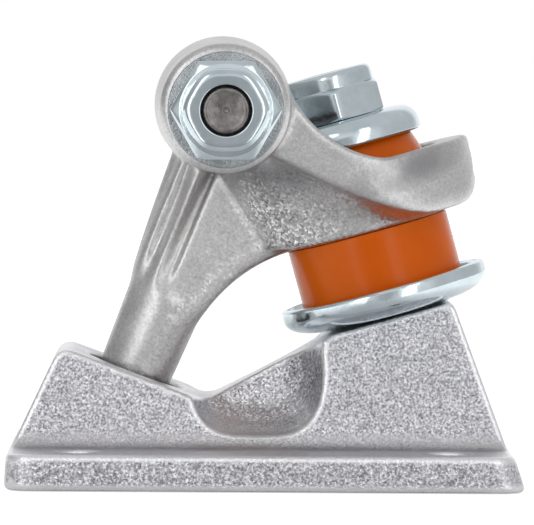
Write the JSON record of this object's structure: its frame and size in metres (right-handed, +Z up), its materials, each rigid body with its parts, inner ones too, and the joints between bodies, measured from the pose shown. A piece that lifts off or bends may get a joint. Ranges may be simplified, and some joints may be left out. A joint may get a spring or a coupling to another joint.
{
  "type": "skateboard truck",
  "caption": "Skateboard truck: a cast hanger on an axle, steering on a kingpin with soft bushings above a cast baseplate, bare and without wheels.",
  "frame": {"origin": "middle of the baseplate's underside, on the face that meets the deck", "axes": "+Z up from the deck face, Y along the axle, the pivot end of the truck towards -X and the kingpin end towards +X"},
  "size_m": [0.075, 0.2038, 0.0653],
  "materials": {
    "raw_casting": "rough, as cast, sparkling grain",
    "tumbled_casting": "tumbled casting, half bright with a fine grain",
    "zinc_plate": "bright zinc plate with a blue tint",
    "axle_steel": "dark plain steel",
    "urethane": "orange urethane, half clear",
    "cup_plastic": "black moulded plastic",
    "nylon": "pale nylon"
  },
  "bodies": {
    "base": {"baseplate": "raw_casting", "pivot_cup": "cup_plastic", "kingpin": "zinc_plate", "bottom_washer": "zinc_plate", "bottom_bushing": "urethane", "top_bushing": "urethane", "top_washer": "zinc_plate", "kingpin_nut": "zinc_plate", "kingpin_nut_insert": "nylon"},
    "hanger": {"hanger": "tumbled_casting", "axle": "axle_steel", "speed_washer_inner_left": "zinc_plate", "speed_washer_outer_left": "zinc_plate", "axle_nut_left": "zinc_plate", "axle_nut_insert_left": "nylon", "speed_washer_inner_right": "zinc_plate", "speed_washer_outer_right": "zinc_plate", "axle_nut_right": "zinc_plate", "axle_nut_insert_right": "nylon"}
  },
  "joints": [
    {"name": "steer", "type": "hinge", "parent": "base", "child": "hanger", "pos_m": [-0.02123, 0, 0.01018], "axis": [0.7455, 0, 0.6665], "range_deg": [-15, 15], "stiffness_Nm_per_rad": 20, "deforming": ["bottom_bushing", "top_bushing"]}
  ]
}
